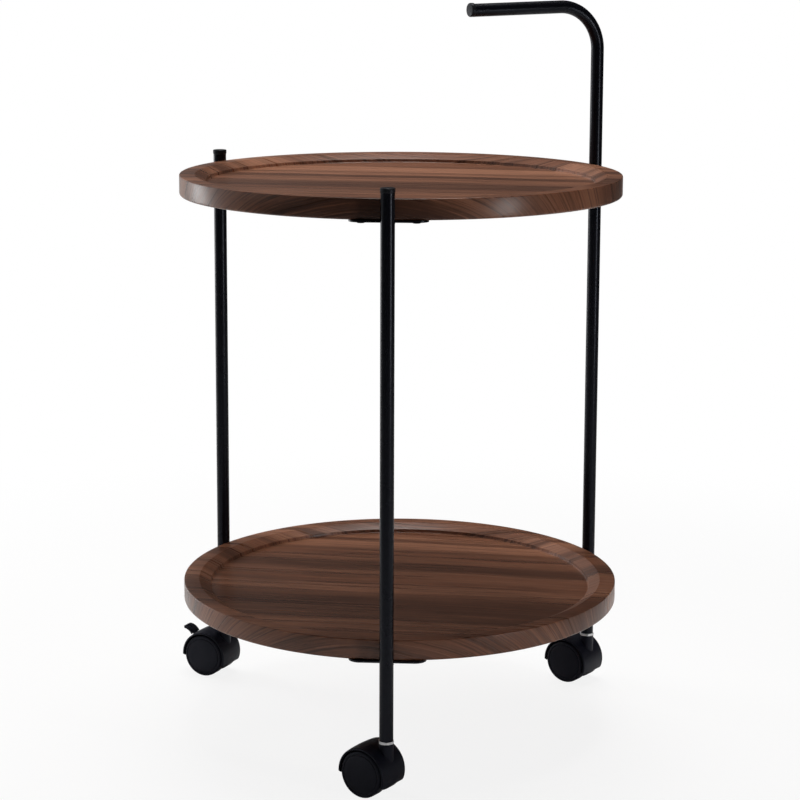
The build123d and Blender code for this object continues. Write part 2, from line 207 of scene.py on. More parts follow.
def tube_mesh(bm, path, side, radius, segments):
    """Sweeps a circle along a path in one plane; side is the direction across that plane."""
    rings = []
    for index, spot in enumerate(path):
        before = path[max(index - 1, 0)]
        after = path[min(index + 1, len(path) - 1)]
        out = side.cross((after - before).normalized())
        rings.append(ring_mesh(bm, segments, lambda turn: spot + swung(out, side, turn) * radius))
    join_stack(bm, rings)
    return rings


def ringed_mesh(bm, heights, reach, segments, place):
    """Rings about Z, with a reach that depends on height and turn, closed by flat ends."""
    rings = [
        ring_mesh(bm, segments, lambda turn: place @ turned(reach(height, turn), height, turn))
        for height in heights
    ]
    close_stack(bm, rings)


def block_mesh(bm, low, high, place):
    """A block between two corners."""
    spots = [
        bm.verts.new(place @ Vector((x, y, z)))
        for z in (low[2], high[2])
        for x, y in ((low[0], low[1]), (high[0], low[1]), (high[0], high[1]), (low[0], high[1]))
    ]
    close_stack(bm, [spots[:4], spots[4:]])


def finished_piece(bm, name, material, crease=32.0):
    """Makes a smooth-shaded object whose edges above the crease angle stay sharp."""
    bmesh.ops.recalc_face_normals(bm, faces=bm.faces[:])
    mesh = bpy.data.meshes.new(name)
    bm.to_mesh(mesh)
    bm.free()
    for face in mesh.polygons:
        face.use_smooth = True
    mesh.set_sharp_from_angle(angle=math.radians(crease))
    piece = bpy.data.objects.new(name, mesh)
    bpy.context.scene.collection.objects.link(piece)
    piece.data.materials.append(material)
    return piece


def hand_over(piece, body, slot, *nodes):
    """Lets a piece ride on a body and stand for CAD nodes; the slot is not used."""
    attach(piece, body)
    if nodes:
        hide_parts(*nodes)


# Materials

FILM_SHINE = 0.38
# How far the grain sways and ripples over its length, and how far a band's edges fray
GRAIN_SWAY = 26 * MM
GRAIN_RIPPLE = 5 * MM
BAND_FRAY = 10 * MM
# Where a band starts and where it is full, as shares of its half width
BAND_EDGES = (1.35, 0.6)
# Black coat and nylon shine little, and a bit bluish
BLACK_SHINE = 0.22
BLACK_SHINE_TINT = (0.80, 0.85, 1.0, 1)


class Bench:
    """Adds nodes to one material or world and wires them."""

    def __init__(self, owner):
        self.owner = owner
        owner.use_nodes = True
        self.tree = owner.node_tree
        self.shader = self.tree.nodes.get("Principled BSDF")

    def add(self, kind, inputs=(), **settings):
        """A new node with its inputs fed and its settings made."""
        node = self.tree.nodes.new(kind)
        for key, value in settings.items():
            setattr(node, key, value)
        for key, value in dict(inputs).items():
            self.feed(node.inputs[key], value)
        return node

    def feed(self, socket, value):
        """Wires an output to a socket, or gives the socket a plain value."""
        if isinstance(value, bpy.types.NodeSocket):
            self.tree.links.new(value, socket)
        else:
            socket.default_value = value

    def set(self, **values):
        """Sets the shader's own sockets, with underscores for spaces."""
        for key, value in values.items():
            self.feed(self.shader.inputs[key.replace("_", " ")], value)

    def math(self, operation, first, second=0.0, third=0.0):
        node = self.add("ShaderNodeMath", {0: first, 1: second, 2: third}, operation=operation)
        return node.outputs[0]

    def shifted(self, noise, reach, place):
        """A place moved by a noise, by up to half the reach to either side."""
        return self.math("MULTIPLY_ADD", self.math("SUBTRACT", noise, 0.5), reach, place)

    def noise(self, place, stretch, detail=2.0, rough=0.5, shift=0.0):
        """Noise over a stretched place, about 0.5 in the middle; stretch is cells per metre."""
        moved = self.add(
            "ShaderNodeMapping",
            {"Vector": place, "Scale": stretch, "Location": (shift, shift * 0.7, shift * 0.3)},
        )
        grain = self.add(
            "ShaderNodeTexNoise",
            {"Vector": moved.outputs[0], "Scale": 1.0, "Detail": detail, "Roughness": rough},
        )
        return grain.outputs["Fac"]

    def remap(self, value, from_low, from_high, to_low=0.0, to_high=1.0):
        """A value brought smoothly from one range into another, and kept inside it."""
        node = self.add(
            "ShaderNodeMapRange",
            {"Value": value, 1: from_low, 2: from_high, 3: to_low, 4: to_high},
            interpolation_type="SMOOTHSTEP",
        )
        return node.outputs[0]

    def blend(self, share, first, second):
        """A mix of two colours."""
        node = self.add("ShaderNodeMix", data_type="RGBA")
        self.feed(node.inputs[0], share)
        self.feed(node.inputs[6], first)
        self.feed(node.inputs[7], second)
        return node.outputs[2]

    def tints(self, share, colour, first, second):
        """A mix of one colour at two brightnesses."""
        ends = [(*(channel * level for channel in colour), 1) for level in (first, second)]
        return self.blend(share, *ends)

    def bump(self, height, strength, distance, under=None):
        node = self.add(
            "ShaderNodeBump", {"Height": height, "Strength": strength, "Distance": distance}
        )
        if under is not None:
            self.feed(node.inputs["Normal"], under)
        return node.outputs[0]

    def object_place(self):
        return self.add("ShaderNodeTexCoord").outputs["Object"]


def walnut_film(name, looks, bands, shift):
    """Printed walnut film: broad tone, dark and pale bands, streaks, fibres and short pores; some bands
    are painted shade and painted light.
    """
    bench = Bench(bpy.data.materials.new(name))
    flat = bench.add("ShaderNodeUVMap", uv_map="grain").outputs[0]
    turned = bench.add(
        "ShaderNodeMapping", {"Vector": flat, "Rotation": (0, 0, looks.grain_turn)}
    ).outputs[0]
    sway = bench.noise(turned, (3.2, 7.0, 1.0), shift=shift)
    ripple = bench.noise(turned, (13.0, 34.0, 1.0), shift=shift + 3.0)
    split = bench.add("ShaderNodeSeparateXYZ", {0: turned})
    bent = bench.shifted(sway, GRAIN_SWAY, split.outputs[1])
    across = bench.shifted(ripple, GRAIN_RIPPLE, bent)
    place = bench.add("ShaderNodeCombineXYZ", {0: split.outputs[0], 1: across}).outputs[0]

    broad = bench.noise(place, (1.6, 26.0, 1.0), shift=shift + 1.0)
    middle = bench.noise(place, (3.5, 120.0, 1.0), detail=3.0, rough=0.6, shift=shift + 5.0)
    streak = bench.noise(place, (7.0, 460.0, 1.0), detail=3.0, rough=0.65, shift=shift + 9.0)
    fibre = bench.noise(place, (28.0, 1700.0, 1.0), rough=0.6, shift=shift + 2.0)
    pores = bench.noise(place, (110.0, 2300.0, 1.0), detail=1.0, shift=shift + 4.0)

    tone = bench.remap(broad, 0.38, 0.66, 0.0, 0.4)
    colour = bench.blend(tone, (*looks.middle_brown, 1), (*looks.light_brown, 1))
    warmth = bench.remap(middle, 0.4, 0.65, 0.0, 0.5)
    colour = bench.blend(warmth, colour, (*looks.red_brown, 1))
    # Bands: grain print, and on the upper tray also painted shade and painted light
    for band_place, band_width, band_share in bands:
        away = bench.math("ABSOLUTE", bench.math("SUBTRACT", across, band_place))
        frayed = bench.shifted(streak, BAND_FRAY, away)
        edges = [band_width * share for share in BAND_EDGES]
        band = bench.remap(frayed, *edges, 0.0, abs(band_share))
        tint = looks.dark_brown if band_share > 0 else looks.light_brown
        colour = bench.blend(band, colour, (*tint, 1))
    veins = bench.remap(middle, 0.48, 0.36, 0.0, 0.4)
    colour = bench.blend(veins, colour, (*looks.dark_brown, 1))
    lines = bench.remap(streak, 0.50, 0.66, 0.0, 0.62)
    colour = bench.blend(lines, colour, (*looks.dark_brown, 1))
    pale = bench.remap(streak, 0.47, 0.32, 0.0, 0.35)
    colour = bench.blend(pale, colour, (*looks.light_brown, 1))
    dashes = bench.remap(pores, 0.62, 0.74, 0.0, 0.5)
    colour = bench.blend(dashes, colour, (*looks.dark_brown, 1))
    fine = bench.remap(fibre, 0.3, 0.7, 0.86, 1.12)
    shade = bench.add("ShaderNodeHueSaturation", {"Value": fine, "Color": colour})

    rough = bench.remap(middle, 0.2, 0.8, looks.film_roughness - 0.03, looks.film_roughness + 0.05)
    relief = bench.math("MULTIPLY_ADD", dashes, -0.8, bench.math("MULTIPLY", fibre, 0.5))
    wavy = bench.bump(bench.noise(flat, (45.0, 45.0, 1.0)), 0.08, 0.6 * MM)
    normal = bench.bump(relief, 0.10, 0.12 * MM, wavy)
    bench.set(Base_Color=shade.outputs[0], Roughness=rough, Normal=normal)
    bench.set(Specular_IOR_Level=FILM_SHINE)
    return bench.owner


def powder_coat(name, looks):
    """Black powder coat: satin, with a fine orange-peel surface."""
    bench = Bench(bpy.data.materials.new(name))
    place = bench.object_place()
    speckle = bench.noise(place, (900.0, 900.0, 900.0))
    cloud = bench.noise(place, (26.0, 26.0, 26.0))
    colour = bench.tints(bench.remap(speckle, 0.3, 0.7), looks.coat_colour, 0.8, 1.25)
    rough = bench.remap(cloud, 0.2, 0.8, looks.coat_roughness - 0.04, looks.coat_roughness + 0.04)
    normal = bench.bump(speckle, 0.10, 0.15 * MM)
    bench.set(Base_Color=colour, Roughness=rough, Normal=normal)
    bench.set(Specular_IOR_Level=BLACK_SHINE, Specular_Tint=BLACK_SHINE_TINT)
    return bench.owner


def moulded_nylon(name, colour, roughness, grain=1500.0):
    """Black moulded plastic with a fine, slightly uneven grain."""
    bench = Bench(bpy.data.materials.new(name))
    place = bench.object_place()
    grit = bench.noise(place, (grain, grain, grain))
    flow = bench.noise(place, (60.0, 60.0, 60.0), detail=3.0)
    tone = bench.tints(bench.remap(grit, 0.35, 0.75), colour, 1, 1.5)
    rough = bench.remap(flow, 0.2, 0.8, roughness - 0.05, roughness + 0.07)
    bench.set(Base_Color=tone, Roughness=rough, Normal=bench.bump(grit, 0.14, 0.1 * MM))
    bench.set(Specular_IOR_Level=BLACK_SHINE, Specular_Tint=BLACK_SHINE_TINT)
    return bench.owner


def plated_steel(name, colour, roughness, metallic=1.0):
    """Plated steel with faint turning marks and dull patches."""
    bench = Bench(bpy.data.materials.new(name))
    place = bench.object_place()
    patch = bench.noise(place, (420.0, 420.0, 420.0), detail=3.0)
    lines = bench.noise(place, (60.0, 60.0, 5200.0), detail=1.0)
    tone = bench.tints(bench.remap(patch, 0.35, 0.75), colour, 1, 0.72)
    rough = bench.remap(patch, 0.2, 0.8, roughness - 0.06, roughness + 0.1)
    normal = bench.bump(lines, 0.12, 0.05 * MM)
    bench.set(Base_Color=tone, Roughness=rough, Normal=normal, Metallic=metallic)
    return bench.owner


def dress_nodes(material, *nodes):
    """Gives CAD nodes that stay in view a material."""
    for node in nodes:
        mesh = frame["nodes"][node].data
        mesh.materials.clear()
        mesh.materials.append(material)
        for face in mesh.polygons:
            face.material_index = 0


# Sizes and colours that a user may change

class TrayLooks(bpy.types.PropertyGroup):
    """Sizes and colours of the two trays."""

    rim_width: FloatProperty(
        name="Rim width", description="Flat rim of a tray", default=14 * MM, unit="LENGTH"
    )
    slope_width: FloatProperty(
        name="Slope width", description="Slope inside the rim", default=10 * MM, unit="LENGTH"
    )
    slope_drop: FloatProperty(
        name="Slope drop", description="How far the slope falls", default=4.85 * MM, unit="LENGTH"
    )
    cove_width: FloatProperty(
        name="Cove width", description="Step at the foot of the slope", default=3 * MM, unit="LENGTH"
    )
    recess_depth: FloatProperty(
        name="Recess depth", description="Rim down to the floor", default=8 * MM, unit="LENGTH"
    )
    grain_turn: FloatProperty(
        name="Grain turn",
        description="Turn of the grain from the line from left to right",
        default=math.radians(9.5),
        subtype="ANGLE",
    )
    light_brown: FloatVectorProperty(
        name="Light brown", description="Palest wood", default=(0.38, 0.172, 0.1), subtype="COLOR"
    )
    middle_brown: FloatVectorProperty(
        name="Middle brown", description="Common wood", default=(0.16, 0.066, 0.037), subtype="COLOR"
    )
    red_brown: FloatVectorProperty(
        name="Red brown", description="Warm wood", default=(0.19, 0.07, 0.036), subtype="COLOR"
    )
    dark_brown: FloatVectorProperty(
        name="Dark brown",
        description="Dark bands and pores",
        default=(0.038, 0.015, 0.009),
        subtype="COLOR",
    )
    film_roughness: FloatProperty(
        name="Film roughness", description="Sheen of the film", default=0.285, subtype="FACTOR"
    )
    segments: IntProperty(
        name="Segments", description="Steps round a tray", default=360, min=24
    )


class LegLooks(bpy.types.PropertyGroup):
    """Sizes and colours of the legs, their caps and the plates."""

    tube_wall: FloatProperty(
        name="Tube wall", description="Thickness of the tube", default=1 * MM, unit="LENGTH"
    )
    bend_radius: FloatProperty(
        name="Bend radius", description="Middle of the tube in the bend", default=40 * MM, unit="LENGTH"
    )
    cap_dome: FloatProperty(
        name="Cap dome", description="Rise of a cap's top", default=0.35 * MM, unit="LENGTH"
    )
    weld_size: FloatProperty(
        name="Weld size", description="Thickness of a weld bead", default=1.5 * MM, unit="LENGTH"
    )
    coat_colour: FloatVectorProperty(
        name="Coat colour", description="Powder coat", default=(0.0034, 0.0034, 0.0056), subtype="COLOR"
    )
    coat_roughness: FloatProperty(
        name="Coat roughness", description="Sheen of the coat", default=0.26, subtype="FACTOR"
    )
    screw_colour: FloatVectorProperty(
        name="Screw colour",
        description="Black zinc of the screws",
        default=(0.02, 0.02, 0.022),
        subtype="COLOR",
    )
    cap_colour: FloatVectorProperty(
        name="Cap colour", description="Plastic caps", default=(0.008, 0.008, 0.0092), subtype="COLOR"
    )


class CasterLooks(bpy.types.PropertyGroup):
    """Sizes and colours of the casters."""

    wheel_rim_wall: FloatProperty(
        name="Rim wall", description="Thickness of a wheel's rim", default=2.6 * MM, unit="LENGTH"
    )
    wheel_face_wall: FloatProperty(
        name="Face wall", description="Thickness of a wheel's face", default=2.2 * MM, unit="LENGTH"
    )
    wheel_ribs: IntProperty(
        name="Wheel ribs", description="Ribs behind a wheel's face", default=8, min=3
    )
    collar_chamfer: FloatProperty(
        name="Collar chamfer",
        description="How far a collar's corners are cut",
        default=0.45 * MM,
        unit="LENGTH",
    )
    thread_pitch: FloatProperty(
        name="Thread pitch",
        description="Rise of a stem's thread in one turn",
        default=1.0 * MM,
        unit="LENGTH",
    )
    grip_rib_count: IntProperty(
        name="Grip ribs", description="Ribs on the brake lever's tab", default=4, min=1
    )
    nylon_colour: FloatVectorProperty(
        name="Nylon colour",
        description="Hoods and wheels",
        default=(0.0046, 0.0046, 0.0086),
        subtype="COLOR",
    )
    nylon_roughness: FloatProperty(
        name="Nylon roughness", description="Sheen of the nylon", default=0.46, subtype="FACTOR"
    )
    zinc_colour: FloatVectorProperty(
        name="Zinc colour", description="Collars and screws", default=(0.91, 0.98, 0.97), subtype="COLOR"
    )
    zinc_roughness: FloatProperty(
        name="Zinc roughness", description="Sheen of the zinc", default=0.3, subtype="FACTOR"
    )


class StudioLooks(bpy.types.PropertyGroup):
    """Camera, lamps and floor."""

    camera_distance: FloatProperty(
        name="Camera distance", description="From the trays' axis", default=2.0127, unit="LENGTH"
    )
    camera_height: FloatProperty(
        name="Camera height", description="Above the floor", default=0.72435, unit="LENGTH"
    )
    camera_pitch: FloatProperty(
        name="Camera pitch", description="Downward tilt", default=0.1679, subtype="ANGLE"
    )
    camera_roll: FloatProperty(
        name="Camera roll", description="Turn about the view", default=0.0037, subtype="ANGLE"
    )
    lens: FloatProperty(
        name="Lens", description="Focal length", default=100.47, unit="CAMERA"
    )
    shift_x: FloatProperty(
        name="Shift across", description="Sideways shift of the picture", default=-0.0007
    )
    shift_y: FloatProperty(
        name="Shift up", description="Upward shift of the picture", default=-0.11
    )
    floor_colour: FloatVectorProperty(
        name="Floor colour", description="Pale floor", default=(0.85, 0.85, 0.85), subtype="COLOR"
    )
    world_light: FloatProperty(
        name="World light", description="Strength of the light from all round", default=0.02
    )


# Trays

TRAY_BOTTOM_ROUND = 2.0 * MM
TRAY_EDGE_ROUND = 0.8 * MM
RIM_ROUND = 1.5 * MM
SLOPE_FOOT_ROUND = 0.5 * MM
COVE_ROUND = 1.1 * MM
COVE_LEAN = 0.35 * MM
# The film folds down over a tray's edge from this far inside it
FILM_FOLD = 1.2 * MM
FILM_SHIFT = {"upper": 11.0, "lower": 4.0}
# Bands of grain print and of painted shade and light: place across the grain, half width, share of dark
# or, if negative, of pale
GRAIN_AND_SHADE_BANDS = {
    "upper": (
        # Upper tray: the bands run darker towards the front and paler towards the back, partly grain
        # print and partly painted shade and painted light
        (-0.044, 0.040, 0.30), (-0.026, 0.021, 0.50), (0.038, 0.008, 0.55),
        (0.075, 0.004, 0.35), (0.014, 0.013, -0.28), (0.060, 0.009, -0.60),
        (0.098, 0.022, -0.95), (-0.092, 0.011, -0.32), (-0.214, 0.020, 0.70),
    # The band at -0.214 lies on the upper tray's front side and is painted shade
    ),
    "lower": (
        (-0.080, 0.038, 0.55), (-0.116, 0.006, 0.35), (-0.140, 0.014, -0.25),
        (-0.022, 0.011, -0.45), (0.051, 0.013, 0.62), (0.126, 0.013, -0.62),
        (0.105, 0.004, 0.30), (0.143, 0.005, 0.45), (0.153, 0.005, -0.40),
    ),
}


def tray_corners(radius, thickness, looks):
    """Corners (radius, height, round) of half a tray's section, from the underside's middle."""
    slope_top = radius - looks.rim_width
    slope_foot = slope_top - looks.slope_width
    floor_edge = slope_foot - looks.cove_width
    return (
        (0, -thickness, 0),
        (radius, -thickness, TRAY_BOTTOM_ROUND),
        (radius, 0, TRAY_EDGE_ROUND),
        (slope_top, 0, RIM_ROUND),
        (slope_foot, -looks.slope_drop, SLOPE_FOOT_ROUND),
        (slope_foot - COVE_LEAN, -looks.recess_depth, COVE_ROUND),
        (floor_edge, -looks.recess_depth, 0),
        (0, -looks.recess_depth, 0),
    )


def lay_film(mesh, centre, radius):
    """Writes where each point of the film lay while flat, in metres, as the map named grain."""
    grain = mesh.uv_layers.new(name="grain")
    for loop in mesh.loops:
        spot = mesh.vertices[loop.vertex_index].co - centre
        reach = math.hypot(spot.x, spot.y)
        flat = Vector((spot.x, spot.y))
        if reach > radius - FILM_FOLD and spot.z < 0:
            flat *= (reach - spot.z) / reach
        grain.data[loop.index].uv = flat


class TABLE_OT_trays(bpy.types.Operator):
    """Builds both trays: turned boards covered with walnut film"""

    bl_idname = "side_table.trays"
    bl_label = "Trays"

    def execute(self, context):
        looks = context.scene.tray_looks
        for level in ("upper", "lower"):
            centre, radius, thickness = tray_frame(level)
            bm = bmesh.new()
            outline = rounded_outline(tray_corners(radius, thickness, looks))
            turned_mesh(bm, outline, looks.segments, Matrix.Translation(centre))
            name = f"walnut_film_{level}"
            film = walnut_film(name, looks, GRAIN_AND_SHADE_BANDS[level], FILM_SHIFT[level])
            piece = finished_piece(bm, f"{level}_tray_board", film, crease=40.0)
            lay_film(piece.data, centre, radius)
            hand_over(piece, TABLE, "walnut_board", f"{level}_tray")
        return {"FINISHED"}


# Legs and handle

TUBE_SEGMENTS = 48
BEND_STEPS = 40
DROOP_ROUNDS = 8
# How deep a tube's and a cap's end are looked at to find their middle
TUBE_END_DEPTH = 0.6 * MM
CAP_END_DEPTH = 0.5 * MM
TIP_SETBACK = 0.15 * MM


class TABLE_OT_legs(bpy.types.Operator):
    """Builds the three tube legs, the right one bent over the tray as a handle"""

    bl_idname = "side_table.legs"
    bl_label = "Legs"

    def execute(self, context):
        looks = context.scene.leg_looks
        coat = powder_coat("black_powder_coat", looks)
        for place in ("front", "left"):
            low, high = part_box(f"{place}_leg")
            foot = leg_foot(place)
            path = [foot + UP * low.z, foot + UP * high.z]
            self.tube(looks, coat, path, leg_inward(place), f"{place}_leg")
        self.tube(looks, coat, self.handle_path(looks), leg_inward("right"), "handle_leg")
        plates = [f"{level}_{place}_plate" for level in ("upper", "lower") for place in LEGS]
        dress_nodes(coat, *plates)
        return {"FINISHED"}

    def handle_path(self, looks):
        """Up the leg, round the bend and along the grip, which droops a little."""
        low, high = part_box("handle_leg")
        foot = leg_foot("right")
        inward = leg_inward("right")
        bend = looks.bend_radius
        bend_foot = high.z - tube_radius() - bend
        hub = foot + UP * bend_foot + inward * bend
        tip = self.tip_middle(foot, inward)
        droop = 0.0
        for _ in range(DROOP_ROUNDS):
            span = tip - hub - swung(UP, inward, droop) * bend
            droop = math.atan2(-span.z, span.dot(inward))
        path = [foot + UP * low.z, foot + UP * bend_foot]
        for step in range(1, BEND_STEPS + 1):
            turn = -math.pi / 2 + (math.pi / 2 + droop) * step / BEND_STEPS
            path.append(hub + swung(UP, inward, turn) * bend)
        path.append(tip)
        return path

    def tip_middle(self, foot, inward):
        """The middle of the tube's end in the hand grip."""
        ends = end_points("handle_leg", inward, TUBE_END_DEPTH)
        farthest = max((point - foot).dot(inward) for point in ends)
        heights = [point.z for point in ends]
        spot = foot + inward * (farthest - TIP_SETBACK)
        return Vector((spot.x, spot.y, (min(heights) + max(heights)) / 2))

    def tube(self, looks, coat, path, inward, node):
        """An open-ended tube with its bore."""
        bm = bmesh.new()
        across = UP.cross(inward)
        radius = tube_radius()
        outer = tube_mesh(bm, path, across, radius, TUBE_SEGMENTS)
        inner = tube_mesh(bm, path, across, radius - looks.tube_wall, TUBE_SEGMENTS)
        join_rings(bm, outer[0], inner[0])
        join_rings(bm, outer[-1], inner[-1])
        piece = finished_piece(bm, f"{node}_tube", coat)
        hand_over(piece, TABLE, "black_powder_coat", node)


# Caps

CAP_ROUGHNESS = 0.4
CAP_GRAIN = 2200.0
CAP_FLANGE = 4.4 * MM
CAP_STEP = 1.5 * MM
PLUG_ROUND = 0.5 * MM
FLANGE_TOP_ROUND = 0.85 * MM
# The flange's foot: how far inside the flange's edge, height over the tube's end, round
FLANGE_FOOT = (
    (0.25 * MM, 0.02 * MM, 0.1 * MM),
    (0.2 * MM, 0.5 * MM, 0.15 * MM),
    (0, 0.75 * MM, 0.2 * MM),
)


class TABLE_OT_caps(bpy.types.Operator):
    """Builds the caps that close the tubes"""

    bl_idname = "side_table.caps"
    bl_label = "Tube caps"

    def execute(self, context):
        looks = context.scene.leg_looks
        plastic = moulded_nylon("black_cap_plastic", looks.cap_colour, CAP_ROUGHNESS, CAP_GRAIN)
        for place in ("front", "left"):
            leg_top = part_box(f"{place}_leg")[1].z
            self.cap(looks, plastic, leg_place(place, leg_top), f"{place}_leg_cap")
        self.cap(looks, plastic, self.handle_end(), "handle_end_cap")
        return {"FINISHED"}

    def handle_end(self):
        """The handle cap's place: origin in the tube's end, Z out of the tube."""
        inward = leg_inward("right")
        near = end_points("handle_end_cap", inward * -1, CAP_END_DEPTH)
        far = end_points("handle_end_cap", inward, CAP_END_DEPTH)
        start = sum(near, Vector()) / len(near)
        end = sum(far, Vector()) / len(far)
        out = (end - start).normalized()
        across = UP.cross(inward)
        plug = (end - start).length - CAP_FLANGE
        return Matrix.Translation(start + out * plug) @ basis(out.cross(across) * -1, across, out)

    def cap(self, looks, plastic, place, node):
        """A plug, a shallow groove and a domed flange, turned about Z."""
        low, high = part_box("front_leg_cap")
        radius = (high.x - low.x) / 2
        plug_length = high.z - low.z - CAP_FLANGE
        plug_radius = radius - CAP_STEP
        corners = [
            (0, -plug_length, 0),
            (plug_radius, -plug_length, PLUG_ROUND),
            (plug_radius, FLANGE_FOOT[0][1], 0),
            *[(radius - inside, height, bend) for inside, height, bend in FLANGE_FOOT],
            (radius, CAP_FLANGE - looks.cap_dome, FLANGE_TOP_ROUND),
            (0, CAP_FLANGE, 0),
        ]
        bm = bmesh.new()
        turned_mesh(bm, rounded_outline(corners), TUBE_SEGMENTS)
        piece = finished_piece(bm, f"{node}_moulding", plastic)
        piece.matrix_world = place
        hand_over(piece, TABLE, "black_cap_plastic", node)


# Plates, screws and the plugs in the legs

SCREW_ROUGHNESS = 0.42
ZINC_METALLIC = 0.4
WELD_STEPS = 72
WELD_SEGMENTS = 10
WELD_BEADS = 9
WELD_HALF_TURN = math.radians(72.0)
WELD_SWELL = 0.12
WELD_LIFT = 0.25 * MM
# A weld's share of its thickness at the very end, and how fast it grows from there
WELD_END = 0.35
WELD_GROWTH = 6.0


class TABLE_OT_fittings(bpy.types.Operator):
    """Finishes the plates with weld beads, the screws and the leg plugs"""

    bl_idname = "side_table.fittings"
    bl_label = "Plates and screws"

    def execute(self, context):
        looks = context.scene.leg_looks
        caster_looks = context.scene.caster_looks
        coat = bpy.data.materials["black_powder_coat"]
        for level in ("upper", "lower"):
            for place in LEGS:
                plate_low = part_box(f"{level}_{place}_plate")[0].z
                self.weld(looks, coat, place, plate_low, f"{level}_{place}_weld")
        black_steel = plated_steel("black_screw_steel", looks.screw_colour, SCREW_ROUGHNESS)
        dress_nodes(black_steel, "upper_tray_screws", "lower_tray_screws")
        zinc = plated_steel(
            "zinc_steel", caster_looks.zinc_colour, caster_looks.zinc_roughness, ZINC_METALLIC
        )
        dress_nodes(zinc, *[f"{place}_leg_plug" for place in LEGS])
        return {"FINISHED"}

    def weld(self, looks, coat, place, height, name):
        """A beaded weld round the tube, in the corner under a plate."""
        bm = bmesh.new()
        spot = leg_place(place, height)
        middle_reach = tube_radius() + WELD_LIFT
        rings = []
        for step in range(WELD_STEPS + 1):
            share = step / WELD_STEPS
            turn = WELD_HALF_TURN * (2 * share - 1)
            swell = 1 + WELD_SWELL * math.cos(math.tau * share * WELD_BEADS)
            growth = min(1, WELD_END + WELD_GROWTH * min(share, 1 - share))
            size = looks.weld_size / 2 * swell * growth
            out = turned(1, 0, turn)
            middle = out * middle_reach
            rings.append(ring_mesh(
                bm, WELD_SEGMENTS, lambda angle: spot @ (middle + swung(out, UP, angle) * size)
            ))
        close_stack(bm, rings)
        piece = finished_piece(bm, name, coat, crease=60.0)
        hand_over(piece, TABLE, "black_powder_coat")


# Wheels

WHEEL_SIDES = (("right", 1), ("left", -1))
WHEEL_SEGMENTS = 96
FACE_DOME = 0.7 * MM
# The dome of a wheel's face: share of the radius, share of the dome's fall
DOME_CURVE = ((0, 0), (0.22, 0.07), (0.42, 0.24), (0.62, 0.5), (0.78, 0.8))
FACE_EDGE_DROP = 0.05 * MM
RING_FROM_RIM = 2.95 * MM
RING_WIDTH = 0.7 * MM
RING_DEPTH = 0.5 * MM
RING_TOP_ROUND = 0.25 * MM
RING_FOOT_ROUND = 0.15 * MM
FACE_ROUND = 2.0 * MM
WHEEL_EDGE_ROUND = 1.0 * MM
RIM_LIP_ROUND = 0.4 * MM
CUP_ROUND = 0.6 * MM
HUB_ROUND = 0.3 * MM
BORE_ROUND = 0.2 * MM
HUB_RADIUS = 5.5 * MM
HUB_BORE = 2.55 * MM
RIB_HALF_WIDTH = 0.6 * MM
RIB_DEPTH = 2.5 * MM
RIB_IN_WALL = 0.4 * MM
RIB_IN_FACE = 0.5 * MM


class TABLE_OT_wheels(bpy.types.Operator):
    """Builds the six wheels: ribbed cups with a domed, ringed face"""

    bl_idname = "side_table.wheels"
    bl_label = "Wheels"

    def execute(self, context):
        looks = context.scene.caster_looks
        nylon = moulded_nylon("black_nylon_wheel", looks.nylon_colour, looks.nylon_roughness)
        for place in LEGS:
            for side, way in WHEEL_SIDES:
                self.wheel(looks, nylon, place, side, way)
        return {"FINISHED"}

    def wheel(self, looks, nylon, place, side, way):
        node = f"{place}_caster_{side}_wheel"
        low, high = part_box(node)
        radius = (high.z - low.z) / 2
        spot = caster_place(place)
        along = spot.to_3x3() @ Vector((0, way, 0))
        reaches = [(v.co - spot.translation).dot(along) for v in frame["nodes"][node].data.vertices]
        inner_side, dome_top = min(reaches), max(reaches)
        inside = dome_top - FACE_DOME - looks.wheel_face_wall
        rim_inside = radius - looks.wheel_rim_wall
        corners = self.face_corners(radius, dome_top) + [
            (radius, inner_side, WHEEL_EDGE_ROUND),
            (rim_inside, inner_side, RIM_LIP_ROUND),
            (rim_inside, inside, CUP_ROUND),
            (HUB_RADIUS, inside, CUP_ROUND),
            (HUB_RADIUS, inner_side, HUB_ROUND),
            (HUB_BORE, inner_side, BORE_ROUND),
            (HUB_BORE, inside, 0),
            (0, inside, 0),
        ]
        turn = spot @ Matrix.Rotation(math.radians(-90 * way), 4, "X")
        bm = bmesh.new()
        turned_mesh(bm, rounded_outline(corners), WHEEL_SEGMENTS, turn)
        for index in range(looks.wheel_ribs):
            rib_turn = turn @ Matrix.Rotation(math.tau * (index + 0.5) / looks.wheel_ribs, 4, "Z")
            block_mesh(
                bm,
                (HUB_RADIUS - RIB_IN_WALL, -RIB_HALF_WIDTH, inside - RIB_DEPTH),
                (rim_inside + RIB_IN_WALL, RIB_HALF_WIDTH, inside + RIB_IN_FACE),
                rib_turn,
            )
        piece = finished_piece(bm, f"{place}_{side}_wheel_moulding", nylon, crease=35.0)
        hand_over(piece, f"{place}_{side}_wheel", "black_nylon", node)

    def face_corners(self, radius, dome_top):
        """Corners (radius, height, round) of a wheel's face: its dome, its ring and its edge."""
        face = dome_top - FACE_DOME
        ring_out = radius - RING_FROM_RIM
        ring_in = ring_out - RING_WIDTH
        dome = [(radius * across, dome_top - FACE_DOME * fall, 0) for across, fall in DOME_CURVE]
        return dome + [
            (ring_in, face, RING_TOP_ROUND),
            (ring_in, face - RING_DEPTH, RING_FOOT_ROUND),
            (ring_out, face - RING_DEPTH, RING_FOOT_ROUND),
            (ring_out, face - FACE_EDGE_DROP, RING_TOP_ROUND),
            (radius, face - FACE_EDGE_DROP, FACE_ROUND),
        ]


# Caster stems

COLLAR_HEIGHT = 2.2 * MM
COLLAR_FLATS = 12.5 * MM
COLLAR_TURN = math.radians(6.0)
COLLAR_SEGMENTS = 120
CHAMFER_STEPS = 3
CHAMFER_SLOPE = 1.6
THREAD_RADIUS = 3.0 * MM
THREAD_DEPTH = 0.45 * MM
THREAD_SEGMENTS = 24
THREAD_STEPS = 6
